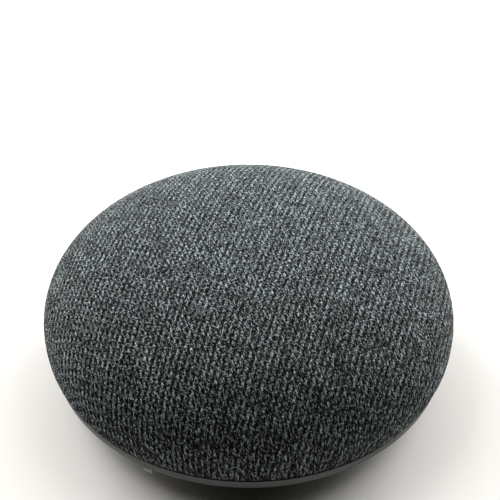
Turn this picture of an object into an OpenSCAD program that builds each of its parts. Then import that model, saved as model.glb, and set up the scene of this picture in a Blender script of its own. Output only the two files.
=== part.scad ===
// Small round smart speaker: a knitted cover over a perforated dome, and a plastic base that
// carries the foot, power port, mute slider, reset button, boards and full-range driver.
// Millimetres, +Z up, origin at the centre of the foot's underside, +Y towards the power port.
// An azimuth is in degrees from +Y towards +X. "Out" is the radial direction at an azimuth.

/* [Case] */
// Overall diameter
case_d = 98; // [96:1:104]
// Overall height, foot included
case_h = 42; // [41.5:0.5:46]
// Height of the widest point
widest_z = 17.1; // [16.5:0.1:18]
// Thickness of the knitted cover
cover_t = 1.0; // [0.8:0.1:1.2]
// Thickness of the perforated dome
dome_t = 1.6; // [1.4:0.1:1.8]
// Height of the top of the base's rim, where the seam starts
seam_z = 10.3; // [10:0.1:10.6]
// Height of the open seam between the rim and the cover
seam_gap = 0.7; // [0.5:0.1:0.9]

/* [Base] */
// How far the rim stands inside the widest point
rim_setback = 1.35; // [1.25:0.05:1.6]
// Height of the upright part of the rim
rim_h = 0.9; // [0.7:0.1:1.1]
// Radius that turns the rim under
rim_round = 2.6; // [2.4:0.1:2.8]
// Rise of the sloping underside, in degrees
slope = 33; // [32:0.5:34]
// Wall thickness of the base
base_wall = 1.8; // [1.6:0.1:1.9]
// Height of the base's flat underside over the table
under_z = 1.2; // [1:0.1:1.3]
// Diameter of the silicone foot
foot_d = 70.4; // [68:0.2:71]
// Thickness of the silicone foot
foot_t = 2.0; // [1.8:0.1:2.1]

/* [Controls] */
// Width of the pocket that takes the power plug
pocket_w = 11; // [10:0.5:12]
// Azimuth of the middle of the mute slider's slot
mute_az = 26; // [25:0.5:27]
// Full travel of the mute slider
mute_travel = 2.8; // [2:0.1:3]
// Azimuth of the reset button
reset_az = -22; // [-23:0.5:-21]
// Diameter of the reset button
reset_d = 2.2; // [2:0.1:2.3]

/* [Driver] */
// Outer radius of the roll surround
surround_r = 20.2; // [20:0.1:20.4]
// Outer radius of the cone
cone_r = 16.2; // [16:0.1:16.4]
// Outer radius of the voice coil's former
former_r = 6.35; // [6.2:0.05:6.4]
// Outer radius of the ring magnet
magnet_r = 15; // [14:0.1:16]
// Outer radius of the sealed enclosure
enclosure_r = 24.6; // [24.4:0.1:24.8]

/* [Lights] */
// Distance between neighbouring lights
led_pitch = 10; // [9:0.5:11]
// Number of lights in the row
led_count = 4; // [2:2:4]

/* [Hidden] */
$fn = 96;
eps = 0.01;
half_w = case_d / 2;
crown_r_exp = 2.24;
crown_z_exp = 2.12;
belly_exp = 2.75;
belly_steps = 5;
crown_steps = 20;
fit_gap = 0.1;

// Cover and dome
cover_z = seam_z + seam_gap;
tuck_z = cover_z + cover_t;
tuck_r = half_w - 3.5;
dome_z = tuck_z + 0.05;
dome_inset = cover_t + fit_gap;
dome_in = dome_inset + dome_t;
clamp_ring = [half_w - 5.4, half_w - 3.7, 11.2, 15.4];
sound_rings = [[11, 14], [15, 18], [19, 24], [23, 28]];
sound_hole_r = 1.0;
sound_strip = 5.2;

// Base
rim_r = half_w - rim_setback;
rim_c = [rim_r - rim_round, seam_z - rim_h];
slope_top = rim_c + rim_round * [sin(slope), -cos(slope)];
slope_foot_r = slope_top[0] - (slope_top[1] - under_z) / tan(slope);
inner_top = slope_top + base_wall * [-sin(slope), cos(slope)];
floor_z = foot_t + 1.6;
inner_r = rim_r - base_wall;
tongue = [half_w - 7.4, half_w - 5.8, 6, 13.5];

// Screws: [shaft radius, head radius, head height]
case_screw = [1.2, 2.1, 1.9];
small_screw = [0.85, 1.75, 1.0];
case_screw_r = 32;
case_screw_az = [55, 145, 235, 325];
case_screw_z = [2.3, 17];
case_boss_r = 3.4;
case_boss_z = 9.2;
dome_post_r = 3.2;
dome_post_z = 9.4;

// Power port
pocket_y = half_w - 11.5;
pocket_z = [2.6, 7.6];
pocket_wall = 1.4;
usb_size = [7.5, 5.6, 2.55];
usb_z = 3.9;
usb_y = pocket_y - 0.2;

// Control board in the base
io_z = usb_z + usb_size[2];
io_t = 1.0;
io_ring = [30, half_w - 8];
io_az = [-27, 40];
io_screw_r = 32.7;
io_screw_az = [-19.5, 33.5];

// Mute slider, in the frame that has its slot's middle on +Y
mute_z = 7.0;
mute_y = half_w - 5.7;
mute_recess_y = half_w - 3.7;
nub = [2.2, 1.3];
nub_y = half_w - 1.85;
mute_plate = [5.2, 1.4];
mute_body = [9, 3, 1.7];

// Reset button, in the frame that has it on +Y
reset_z = 5.6;
reset_y = half_w - 7.7;
reset_flange_y = half_w - 10;

// Enclosure and driver
enclosure_z = [5, 26];
enclosure_wall = 1.6;
lug_r = 2.2;
lug_pcd_r = 27.2;
ear_pcd_r = 26;
quarter_az = [10, 100, 190, 280];
flange_z = enclosure_z[1] + 0.5;
flange_t = 1.2;
yoke_z = 7.0;
magnet_z = yoke_z + 2.5;
plate_z = magnet_z + 6;
basket_z = plate_z + 2.5;
shelf_z = basket_z + 2.0;
gap_in_r = former_r - 0.55;
gap_out_r = former_r + 0.6;

// Main board
board_z = 15;
board_t = 1.2;
board_ring = [29.3, half_w - 8.2];
board_screw_r = half_w - 10.4;
board_screw_az = [80, 200, 320];
spreader_z = 19.8;
spreader_t = 1.2;
spreader_az = [66, 214];
shield_az = 110;
radio_az = 278;

// Light board
led_z = 35.4;
led_t = 1.0;
led_board_size = [44, 14];
led_screw_x = 19.5;
mic_at = [10, 4.6];

// Colours
charcoal = "#383d3f";
slate = "#6b6d6f";
ink = "#1c1d1f";
board_green = "#1f4a33";
steel = "#b9bcbf";
copper = "#b8763e";

// ---------- helpers ----------

// Radius of the outside below the widest point
function belly_r(z) = half_w * pow(1 - pow((widest_z - z) / widest_z, belly_exp), 1 / belly_exp);

// Point of the outside above the widest point, at parameter angle t
function crown_pt(t) = [
    half_w * pow(cos(t), 2 / crown_r_exp),
    widest_z + (case_h - widest_z) * pow(sin(t), 2 / crown_z_exp)
];

// Outside from height z_low up to the apex
function outline(z_low) = concat(
    [for (i = [0:belly_steps - 1])
        let (z = z_low + (widest_z - z_low) * i / belly_steps) [belly_r(z), z]],
    [for (i = [0:crown_steps - 1]) crown_pt(90 * i / crown_steps)],
    [[0, case_h]]
);

// The same points moved inwards by d, square to the line through their neighbours
function inset(pts, d) = [
    for (i = [0:len(pts) - 1])
        let (last = len(pts) - 1, run = pts[min(i + 1, last)] - pts[max(i - 1, 0)])
            i == last ? [0, pts[i][1] - d] : pts[i] + d * [-run[1], run[0]] / norm(run)
];

function backwards(v) = [for (i = [len(v) - 1:-1:0]) v[i]];

module at_az(az) rotate([0, 0, -az]) children();

module disc(r, z0, z1) translate([0, 0, z0]) cylinder(r = r, h = z1 - z0);

module tube(r_in, r_out, z0, z1) rotate_extrude() translate([r_in, z0]) square([r_out - r_in, z1 - z0]);

// Box centred on x, from y0 to y1 and z0 to z1
module slab(w, y0, y1, z0, z1) translate([-w / 2, y0, z0]) cube([w, y1 - y0, z1 - z0]);

// Disc whose axis points out along +Y
module out_disc(r, y0, y1, z) translate([0, y0, z]) rotate([-90, 0, 0]) cylinder(r = r, h = y1 - y0);

// Turned shape whose axis points out along +Y, from points given as [radius, out]
module out_turned(z, pts) translate([0, 0, z]) rotate([-90, 0, 0]) rotate([0, 0, -90])
    rotate_extrude() polygon(pts);

// Ring between two radii, kept from azimuth a0 to a1
module ring_sector(r_in, r_out, z0, z1, a0, a1)
    at_az(a1) rotate([0, 0, 90]) translate([0, 0, z0])
        rotate_extrude(angle = a1 - a0) translate([r_in, 0]) square([r_out - r_in, z1 - z0]);

// Screw with its head at z_head and its tip at z_tip
module screw(kind, z_tip, z_head) {
    up = z_head > z_tip;
    disc(kind[0], min(z_tip, z_head), max(z_tip, z_head));
    difference() {
        disc(kind[1], up ? z_head : z_head - kind[2], up ? z_head + kind[2] : z_head);
        translate([0, 0, up ? z_head + kind[2] / 2 : z_head - kind[2] - eps])
            cylinder(r = kind[1] * 0.5, h = kind[2] / 2 + eps, $fn = 6);
    }
}

module around(az_list, r) for (az = az_list) at_az(az) translate([0, r, 0]) children();

// Solid that fills the outside moved in by d, down to height z_low
module dome_solid(d, z_low) {
    pts = inset(outline(min(z_low, dome_z)), d);
    intersection() {
        rotate_extrude() polygon(concat([[0, min(z_low, dome_z)], [pts[0][0], min(z_low, dome_z)]], pts));
        disc(half_w, z_low, case_h);
    }
}

// ---------- case ----------

module foot_pad() color(ink) difference() {
    disc(foot_d / 2, 0, foot_t - 0.02);
    tube(foot_d / 2 - 3.4, foot_d / 2 - 2.6, -eps, 0.3);
}

module base_outline() intersection() {
    union() {
        polygon([
            [0, under_z], [slope_foot_r, under_z], slope_top, rim_c, [rim_r, rim_c[1]],
            [rim_r, seam_z], [0, seam_z]
        ]);
        translate(rim_c) circle(rim_round);
    }
    square([half_w, seam_z]);
}

module base_cavity() polygon([
    [0, floor_z],
    [inner_top[0] - (inner_top[1] - floor_z) / tan(slope), floor_z],
    [inner_r, inner_top[1] + (inner_r - inner_top[0]) * tan(slope)],
    [inner_r, case_h], [0, case_h]
]);

// Everything that stands up inside the base, before it is clipped to the base's outside
module base_inner_blocks() {
    around(case_screw_az, case_screw_r) disc(case_boss_r, foot_t, case_boss_z);
    around(quarter_az, lug_pcd_r) disc(lug_r, foot_t, enclosure_z[0]);
    around(io_screw_az, io_screw_r) disc(2, foot_t, io_z);
    slab(pocket_w + 2 * pocket_wall, pocket_y - pocket_wall, half_w, foot_t, pocket_z[1] + pocket_wall);
    at_az(mute_az) slab(11, mute_y, half_w, 5.3, 9.6);
}

module mute_cuts() at_az(mute_az) {
    slab(8.8, mute_y - 2.4, mute_y, mute_z - 0.95, mute_z + 2.1);
    slab(nub[0] + mute_travel + 0.4, mute_y - 1, half_w, mute_z - 0.75, mute_z + 0.75);
    slab(5.6, mute_recess_y, half_w, mute_z - 1.2, mute_z + 1.2);
    for (x = [-2.8, 2.8]) translate([x, 0, 0]) out_disc(1.2, mute_recess_y, half_w, mute_z);
}

module reset_cuts() at_az(reset_az) {
    out_turned(reset_z, [
        [0, reset_flange_y - 2], [reset_d / 2 + 0.7, reset_flange_y - 2],
        [reset_d / 2 + 0.7, reset_flange_y + 0.9], [reset_d / 2 + 0.15, reset_flange_y + 0.9],
        [reset_d / 2 + 0.15, reset_y + 1], [0, reset_y + 1]
    ]);
    slab(5.2, reset_y, half_w, reset_z - 2.6, reset_z + 2.1);
}

module base_housing() color(slate) difference() {
    union() {
        rotate_extrude() difference() {
            base_outline();
            base_cavity();
        }
        tube(tongue[0], tongue[1], tongue[2], tongue[3]);
        around(board_screw_az, board_screw_r) disc(2.2, 6, board_z);
        intersection() {
            rotate_extrude() base_outline();
            union() {
                base_inner_blocks();
                around(board_screw_az, board_screw_r) disc(2.2, foot_t, 6.1);
            }
        }
    }
    disc(foot_d / 2 + 0.2, 0, foot_t);
    around(case_screw_az, case_screw_r) {
        disc(case_screw[1] + 0.15, 0, case_screw_z[0] + case_screw[2] + 0.2);
        disc(case_screw[0] + 0.1, 0, case_boss_z + 1);
    }
    around(quarter_az, lug_pcd_r) disc(small_screw[0] + 0.05, foot_t + 0.5, enclosure_z[0] + 1);
    around(io_screw_az, io_screw_r) disc(small_screw[0] + 0.05, foot_t + 1, io_z + 1);
    around(board_screw_az, board_screw_r) disc(small_screw[0] + 0.05, 9.5, board_z + 1);
    slab(pocket_w, pocket_y, half_w, pocket_z[0], pocket_z[1]);
    slab(usb_size[0] + 0.5, pocket_y - 2, pocket_y + 1, usb_z - 0.15, io_z + 0.15);
    mute_cuts();
    reset_cuts();
}

module case_screws() color(steel) around(case_screw_az, case_screw_r)
    screw(case_screw, case_screw_z[1], case_screw_z[0] + case_screw[2]);

module fabric_cover() color(charcoal) {
    inner = inset(outline(tuck_z), cover_t);
    rotate_extrude() polygon(concat(
        outline(cover_z),
        backwards(inner),
        [[inner[0][0], tuck_z], [tuck_r, tuck_z], [tuck_r, cover_z]]
    ));
}

module sound_holes() for (ring = sound_rings) for (i = [0:ring[1] - 1]) {
    az = 360 * (i + 0.5) / ring[1];
    if (abs(ring[0] * cos(az)) > sound_strip) at_az(az) translate([0, ring[0], 0]) disc(sound_hole_r, 30, 45);
}

module grille_shell() color(ink) difference() {
    union() {
        outer = inset(outline(dome_z), dome_inset);
        inner = inset(outline(dome_z), dome_in);
        rotate_extrude() polygon(concat(
            [[outer[0][0], dome_z]], outer, backwards(inner), [[inner[0][0], dome_z]]
        ));
        intersection() {
            dome_solid(dome_inset + 0.4, 5);
            union() {
                around(case_screw_az, case_screw_r) disc(dome_post_r, dome_post_z, case_h);
                for (x = [-led_screw_x, led_screw_x]) translate([x, 0, 0]) disc(2.3, led_z + led_t, case_h);
            }
        }
    }
    around(case_screw_az, case_screw_r) disc(case_screw[0] + 0.05, dome_post_z - 1, case_screw_z[1] + 1);
    for (x = [-led_screw_x, led_screw_x]) translate([x, 0, 0])
        disc(small_screw[0] + 0.05, led_z, led_z + 3.1);
    for (x = led_x()) translate([x, 0, 0]) disc(1.7, 30, 45);
    for (m = mic_places()) translate(m) disc(0.8, 30, 45);
    sound_holes();
}

module fabric_clamp_ring() color(ink)
    tube(clamp_ring[0], clamp_ring[1], clamp_ring[2], clamp_ring[3]);

// Foil on the inside of the dome, centred on azimuth az
module touch_pad(az) {
    span = 48;
    far = [for (t = [44:3:62]) crown_pt(t)];
    d = dome_in + 0.1;
    at_az(az + span / 2) rotate([0, 0, 90]) rotate_extrude(angle = span)
        polygon(concat(pad_side(far, d), backwards(pad_side(far, d + 0.2))));
}

// Points moved in by d, without the two at the ends
function pad_side(pts, d) = [
    for (i = [1:len(pts) - 2])
        let (run = pts[i + 1] - pts[i - 1]) pts[i] + d * [-run[1], run[0]] / norm(run)
];

module touch_pad_left() color(copper) touch_pad(-90);
module touch_pad_right() color(copper) touch_pad(90);

// ---------- light board ----------

function led_x() = [for (i = [0:led_count - 1]) led_pitch * (i - (led_count - 1) / 2)];
function mic_places() = [for (s = [-1, 1]) [s * mic_at[0], mic_at[1], 0]];

module led_board() color(board_green) difference() {
    slab(led_board_size[0], -led_board_size[1] / 2, led_board_size[1] / 2, led_z, led_z + led_t);
    for (x = [-led_screw_x, led_screw_x]) translate([x, 0, 0]) disc(small_screw[0] + 0.15, led_z - 1, led_z + 2);
}

module leds() color("#e8e6da") for (x = led_x()) translate([x, 0, 0]) difference() {
    slab(3, -1.5, 1.5, led_z + led_t, led_z + led_t + 0.8);
    disc(1.1, led_z + led_t + 0.5, led_z + led_t + 1);
}

module light_guide() color("#dfe6ea") {
    bar_z = led_z + led_t + 0.9;
    slab(led_pitch * (led_count - 1) + 3.6, -1.9, 1.9, bar_z, bar_z + 0.4);
    intersection() {
        dome_solid(dome_inset, 30);
        for (x = led_x()) translate([x, 0, 0]) disc(1.5, bar_z + 0.3, case_h);
    }
}

module microphones() color(steel) for (m = mic_places()) translate(m) difference() {
    slab(3.5, -1.3, 1.3, led_z + led_t, led_z + led_t + 1);
    disc(0.4, led_z + led_t + 0.5, led_z + led_t + 2);
}

module mic_gaskets() color(ink) intersection() {
    dome_solid(dome_in + 0.1, 30);
    for (m = mic_places()) translate(m) tube(0.7, 1.3, led_z + led_t + 1, case_h);
}

module led_board_screws() color(steel) for (x = [-led_screw_x, led_screw_x]) translate([x, 0, 0])
    screw(small_screw, led_z + 2.9, led_z);

// ---------- main board ----------

module main_board() color(board_green) difference() {
    tube(board_ring[0], board_ring[1], board_z, board_z + board_t);
    around(case_screw_az, case_screw_r) disc(dome_post_r + 0.4, board_z - 1, board_z + 2);
    around(board_screw_az, board_screw_r) disc(small_screw[0] + 0.2, board_z - 1, board_z + 2);
}

// Group of boxes on the main board at one azimuth: [width, out, height, sideways, radius]
module on_board(az, boxes) at_az(az) for (b = boxes) translate([b[3], 0, 0])
    slab(b[0], b[4] - b[1] / 2, b[4] + b[1] / 2, board_z + board_t, board_z + board_t + b[2]);

module processor() color(ink) on_board(shield_az, [[9, 7, 1.1, -1.5, 35], [3.2, 4.5, 0.9, 5.4, 35]]);

module shield_can() color(steel) at_az(shield_az) difference() {
    slab(16, 30.6, 39.4, board_z + board_t, board_z + board_t + 2.2);
    slab(15.4, 30.9, 39.1, board_z + board_t - eps, board_z + board_t + 1.9);
    for (x = [-6:3:6]) translate([x, 0, 0]) slab(1.4, 39, 40, board_z + board_t - eps, board_z + board_t + 0.7);
}

module thermal_pad() color("#9fb7c9") at_az(shield_az)
    slab(13, 31.5, 38.5, board_z + board_t + 2.2, spreader_z);

module heat_spreader() color("#a9adb0") difference() {
    union() {
        ring_sector(board_ring[0] + 0.3, board_ring[1] - 0.4, spreader_z, spreader_z + spreader_t,
            spreader_az[0], spreader_az[1]);
        around([board_screw_az[0], board_screw_az[1]], board_screw_r) disc(2.3, board_z + board_t, spreader_z + 0.1);
        for (az = [92:6:188]) at_az(az)
            slab(0.9, board_ring[1] - 4.4, board_ring[1] - 0.8, spreader_z + 0.1, spreader_z + 4);
        for (az = [92:6:128]) at_az(az)
            slab(0.9, board_ring[0] + 1, board_ring[1] - 4.2, spreader_z + 0.1, spreader_z + 4);
    }
    around([case_screw_az[1]], case_screw_r) disc(dome_post_r + 0.4, board_z, case_h);
    around([board_screw_az[0], board_screw_az[1]], board_screw_r) disc(small_screw[0] + 0.15, board_z, case_h);
}

module radio_module() color(steel) on_board(radio_az, [[13, 9, 1.9, 0, 35.5]]);

module wifi_antennas() color("#c9a24a") for (az = [20, 345]) at_az(az) difference() {
    slab(9, 37, 39.4, board_z + board_t, board_z + board_t + 3.4);
    slab(10, 37.3, 40, board_z + board_t - eps, board_z + board_t + 3.1);
    slab(3, 36, 37.5, board_z + board_t + 0.8, board_z + board_t + 2.2);
}

module audio_amplifier() color(ink) on_board(300, [[5, 5, 0.9, 0, 35]]);

module power_coils() color("#3a3a3c") around([3, 34], 34.2)
    disc(2.4, board_z + board_t, board_z + board_t + 2.4);

module board_screws() color(steel) {
    around([board_screw_az[0], board_screw_az[1]], board_screw_r)
        screw(small_screw, 10, spreader_z + spreader_t);
    around([board_screw_az[2]], board_screw_r) screw(small_screw, 10, board_z + board_t);
}

// ---------- enclosure and driver ----------

module speaker_enclosure() color(ink) difference() {
    union() {
        disc(enclosure_r, enclosure_z[0], enclosure_z[1]);
        around(quarter_az, lug_pcd_r) disc(lug_r, enclosure_z[0], enclosure_z[0] + 1.6);
        for (az = quarter_az) at_az(az)
            slab(2 * lug_r, enclosure_r - 1, lug_pcd_r, enclosure_z[0], enclosure_z[0] + 1.6);
        around(quarter_az, ear_pcd_r) disc(lug_r, enclosure_z[1] - 5, enclosure_z[1]);
    }
    disc(enclosure_r - enclosure_wall, enclosure_z[0] + 1.4, enclosure_z[1] + 1);
    around(quarter_az, lug_pcd_r) disc(small_screw[0] + 0.15, enclosure_z[0] - 1, enclosure_z[0] + 3);
    around(quarter_az, ear_pcd_r) disc(small_screw[0] + 0.05, enclosure_z[1] - 4, enclosure_z[1] + 1);
}

module enclosure_screws() color(steel) around(quarter_az, lug_pcd_r)
    screw(small_screw, foot_t + 0.7, enclosure_z[0] + 1.6);

module driver_gasket() color(ink) tube(enclosure_r - enclosure_wall, enclosure_r, enclosure_z[1], flange_z);

module driver_basket() color("#4a4c4f") difference() {
    union() {
        rotate_extrude() polygon([
            [gap_out_r + 1, basket_z], [magnet_r, basket_z], [surround_r + 0.9, flange_z],
            [enclosure_r + 0.3, flange_z], [enclosure_r + 0.3, flange_z + flange_t],
            [surround_r - 0.3, flange_z + flange_t], [surround_r - 0.3, flange_z],
            [magnet_r - 0.2, shelf_z], [magnet_r - 2.4, shelf_z], [magnet_r - 2.4, basket_z + 1],
            [gap_out_r + 1, basket_z + 1]
        ]);
        around(quarter_az, ear_pcd_r) disc(lug_r, flange_z, flange_z + flange_t);
    }
    around(quarter_az, ear_pcd_r) disc(small_screw[0] + 0.15, flange_z - 1, flange_z + 3);
    for (i = [0:5]) at_az(60 * i + 25) slab(8.5, magnet_r - 0.1, enclosure_r, shelf_z + 0.6, flange_z - 1);
}

module driver_yoke() color(steel) difference() {
    union() {
        disc(magnet_r - 1, yoke_z, magnet_z);
        disc(gap_in_r, yoke_z, basket_z);
    }
    disc(1.6, yoke_z - 1, basket_z + 1);
}

module driver_magnet() color("#2c2b2b") tube(gap_out_r + 1.6, magnet_r, magnet_z, plate_z);

module driver_top_plate() color(steel) tube(gap_out_r, magnet_r - 1, plate_z, basket_z);

module voice_coil() color(copper) union() {
    tube(former_r - 0.15, former_r, plate_z - 0.9, basket_z + 5.9);
    tube(former_r - 0.05, former_r + 0.3, plate_z - 0.9, basket_z + 0.3);
}

// Height of the cone's underside at radius r
function cone_z(r) = basket_z + 4.9 + (r - former_r) * 0.46;

module driver_cone() color("#26282a") rotate_extrude() polygon([
    [former_r + 0.05, cone_z(former_r) - 0.8], [former_r + 0.5, cone_z(former_r) - 0.8],
    [former_r + 0.5, cone_z(former_r + 0.5)], [cone_r, cone_z(cone_r)],
    [cone_r, cone_z(cone_r) + 0.4], [former_r + 0.05, cone_z(former_r) + 0.4]
]);

module dust_cap() color(ink) rotate_extrude() intersection() {
    translate([0, cone_z(former_r) - 8.9]) difference() {
        circle(12.4);
        circle(12.0);
    }
    translate([0, cone_z(former_r) + 1.05]) square([former_r + 1.2, 10]);
}

module cone_surround() color(ink) {
    roll_r = (surround_r - cone_r) / 2;
    roll_z = flange_z + flange_t + 0.15;
    rotate_extrude() union() {
        intersection() {
            translate([cone_r + roll_r, roll_z]) difference() {
                circle(roll_r + 0.2);
                circle(roll_r - 0.2);
            }
            translate([0, roll_z]) square([surround_r + 3, roll_r + 2]);
        }
        translate([cone_r - 1.2, roll_z]) square([1.4, 0.4]);
        translate([surround_r - 0.2, roll_z]) square([1.6, 0.4]);
    }
}

module spider() color("#b98b4a") {
    pitch = 1.5;
    r0 = former_r + 0.1;
    n = 5;
    rotate_extrude() union() {
        translate([r0, shelf_z + 0.5]) square([0.5, 0.3]);
        for (i = [0:n - 1]) translate([r0 + 0.3 + pitch * i, shelf_z + (i % 2 == 0 ? 0.5 : 0)])
            square([pitch + 0.3, 0.3]);
        for (i = [0:n - 1]) translate([r0 + 0.3 + pitch * i, shelf_z]) square([0.3, 0.8]);
    }
}

module driver_terminal() color(board_green) at_az(235)
    slab(6, enclosure_r - 2.6, enclosure_r + 0.4, flange_z + flange_t, flange_z + flange_t + 0.8);

// One lead: out from the terminal, down beside the enclosure, and out over the main board
module lead(x) {
    r = 0.5;
    y0 = enclosure_r + 0.4;
    y1 = 27.9;
    y2 = 31.5;
    z0 = flange_z + flange_t + 0.5;
    z1 = board_z + board_t + 0.55;
    translate([x, 0, 0]) union() {
        out_disc(r, y0, y1, z0);
        translate([0, y1, z0]) sphere(r);
        translate([0, y1, 0]) disc(r, z1, z0);
        translate([0, y1, z1]) sphere(r);
        out_disc(r, y1, y2, z1);
    }
}

module driver_leads() color("#a03a2c") at_az(255) for (x = [-0.8, 0.8]) lead(x);

module driver_screws() color(steel) around(quarter_az, ear_pcd_r)
    screw(small_screw, enclosure_z[1] - 3.8, flange_z + flange_t);

// ---------- control board ----------

module io_board() color(board_green) difference() {
    ring_sector(io_ring[0], io_ring[1], io_z, io_z + io_t, io_az[0], io_az[1]);
    slab(pocket_w + 2 * pocket_wall + 0.6, pocket_y - pocket_wall - 0.3, half_w, io_z - 1, io_z + 2);
    around(io_screw_az, io_screw_r) disc(small_screw[0] + 0.15, io_z - 1, io_z + 2);
    at_az(reset_az) slab(reset_d + 2.4, reset_flange_y - 0.7, half_w, io_z - 1, io_z + 2);
}

module usb_port() color(steel) {
    w = usb_size[0];
    y0 = usb_y - usb_size[1];
    difference() {
        slab(w, y0, usb_y, usb_z, io_z);
        slab(w - 0.6, y0 + 0.6, usb_y + 1, usb_z + 0.3, io_z - 0.3);
    }
    slab(w - 3.4, y0 + 0.5, usb_y - 0.6, usb_z + 1.1, usb_z + 1.7);
}

module mute_switch() color(ink) at_az(mute_az) difference() {
    z0 = io_z + io_t;
    slab(mute_body[0], mute_y - 5.6, mute_y - 5.6 + mute_body[1], z0, z0 + mute_body[2]);
    slab(mute_travel + 1.6, mute_y - 3.7, mute_y - 1, z0 + 0.45, z0 + 1.3);
}

module mute_slider() color("#8d9093") at_az(mute_az) translate([mute_travel / 2, 0, 0]) union() {
    z0 = io_z + io_t;
    slab(nub[0], mute_y - 0.5, nub_y, mute_z - nub[1] / 2, mute_z + nub[1] / 2);
    slab(mute_plate[0], mute_y - 0.2 - mute_plate[1], mute_y - 0.2, mute_z - 0.8, mute_z + 1.9);
    slab(1.1, mute_y - 3.5, mute_y - 1.5, z0 + 0.55, z0 + 1.2);
}

module reset_switch() color(steel) at_az(reset_az) union() {
    slab(4.4, reset_flange_y - 3.8, reset_flange_y - 0.8, io_z - 1.7, io_z);
    out_disc(0.7, reset_flange_y - 0.9, reset_flange_y - 0.5, reset_z);
}

module reset_button() color("#8d9093") at_az(reset_az) out_turned(reset_z, [
    [0, reset_flange_y], [reset_d / 2 + 0.5, reset_flange_y],
    [reset_d / 2 + 0.5, reset_flange_y + 0.7], [reset_d / 2, reset_flange_y + 0.7],
    [reset_d / 2, reset_y + 0.2], [reset_d / 2 - 0.3, reset_y + 0.5], [0, reset_y + 0.5]
]);

module io_board_screws() color(steel) around(io_screw_az, io_screw_r)
    screw(small_screw, foot_t + 1.2, io_z + io_t);

// ---------- flat cables ----------

// Flat cable w wide and t thick whose middle runs through pts, given as [out, height]
module ribbon(w, t, pts) rotate([0, 0, 90]) rotate([90, 0, 0]) translate([0, 0, -w / 2])
    linear_extrude(w) polygon(concat(ribbon_side(pts, t / 2), backwards(ribbon_side(pts, -t / 2))));

// The run of pts moved sideways by d, mitred at the corners
function ribbon_side(pts, d) = [
    for (i = [0:len(pts) - 1])
        let (
            last = len(pts) - 1,
            a = unit(pts[max(i, 1)] - pts[max(i, 1) - 1]),
            b = unit(pts[min(i, last - 1) + 1] - pts[min(i, last - 1)]),
            m = unit(a + b)
        ) pts[i] + d * [-m[1], m[0]] / (m * a)
];
function unit(v) = v / norm(v);

module io_flex() color("#c58a3a") at_az(18)
    ribbon(5, 0.2, [[34, io_z + 2.1], [31.2, io_z + 2.1], [30.4, io_z + 2.9], [30.4, board_z - 2.2],
        [31.2, board_z - 1.4], [34, board_z - 1.4]]);

module led_flex() color("#c58a3a") at_az(180)
    ribbon(5, 0.2, [[3, led_z - 1.2], [20, led_z - 1.2], [28.6, led_z - 6], [28.6, board_z + 3.4],
        [29.8, board_z + 2.3], [34, board_z + 2.3]]);

module flex_connectors() color("#e4e0d2") {
    at_az(18) slab(6.4, 33, 36, io_z + io_t, io_z + 2.0);
    at_az(18) slab(6.4, 33, 36, board_z - 1.3, board_z);
    at_az(180) slab(6.4, 33, 36, board_z + board_t, board_z + 2.2);
    at_az(180) slab(6.4, 2, 5, led_z - 1.1, led_z);
}

foot_pad();
base_housing();
case_screws();
fabric_cover();
grille_shell();
fabric_clamp_ring();
touch_pad_left();
touch_pad_right();
led_board();
leds();
light_guide();
microphones();
mic_gaskets();
led_board_screws();
main_board();
processor();
shield_can();
thermal_pad();
heat_spreader();
radio_module();
wifi_antennas();
audio_amplifier();
power_coils();
board_screws();
speaker_enclosure();
enclosure_screws();
driver_gasket();
driver_basket();
driver_yoke();
driver_magnet();
driver_top_plate();
voice_coil();
driver_cone();
dust_cap();
cone_surround();
spider();
driver_terminal();
driver_leads();
driver_screws();
io_board();
usb_port();
mute_switch();
mute_slider();
reset_switch();
reset_button();
io_board_screws();
io_flex();
led_flex();
flex_connectors();
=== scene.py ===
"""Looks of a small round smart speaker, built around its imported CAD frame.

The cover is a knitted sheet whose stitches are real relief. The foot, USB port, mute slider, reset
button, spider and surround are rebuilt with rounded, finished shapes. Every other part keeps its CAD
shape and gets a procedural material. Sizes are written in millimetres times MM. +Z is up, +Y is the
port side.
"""

import math

import bmesh
import bpy
import numpy as np
from mathutils import Matrix, Vector
from mathutils.geometry import delaunay_2d_cdt


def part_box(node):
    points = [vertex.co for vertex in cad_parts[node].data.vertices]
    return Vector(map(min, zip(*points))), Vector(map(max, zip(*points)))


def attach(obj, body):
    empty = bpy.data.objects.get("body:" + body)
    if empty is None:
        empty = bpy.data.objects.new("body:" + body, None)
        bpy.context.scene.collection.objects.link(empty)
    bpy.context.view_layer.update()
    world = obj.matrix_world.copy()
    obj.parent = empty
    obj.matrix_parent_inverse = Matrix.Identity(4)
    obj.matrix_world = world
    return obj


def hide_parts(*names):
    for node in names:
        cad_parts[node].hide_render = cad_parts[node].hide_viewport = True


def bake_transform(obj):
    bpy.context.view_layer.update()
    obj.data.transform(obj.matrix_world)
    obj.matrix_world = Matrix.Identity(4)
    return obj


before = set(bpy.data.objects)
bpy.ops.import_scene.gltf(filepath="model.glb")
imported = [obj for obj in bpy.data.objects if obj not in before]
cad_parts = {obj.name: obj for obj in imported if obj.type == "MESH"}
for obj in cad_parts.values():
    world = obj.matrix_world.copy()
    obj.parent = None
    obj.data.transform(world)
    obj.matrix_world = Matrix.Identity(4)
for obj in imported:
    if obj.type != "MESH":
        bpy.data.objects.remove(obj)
bpy.context.view_layer.update()

MM = 0.001
RNG = np.random.default_rng(11)

# ---------- sizes taken from the frame ----------

COVER_LO, COVER_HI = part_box("fabric_cover")
HALF_W = COVER_HI.y
TOP_Z = COVER_HI.z
HEM_Z = COVER_LO.z

# Outline of the case: superellipse above the widest point and another below it
WIDEST_Z = 17.1 * MM
CROWN_R_EXP = 2.24
CROWN_Z_EXP = 2.12
BELLY_EXP = 2.75

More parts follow.
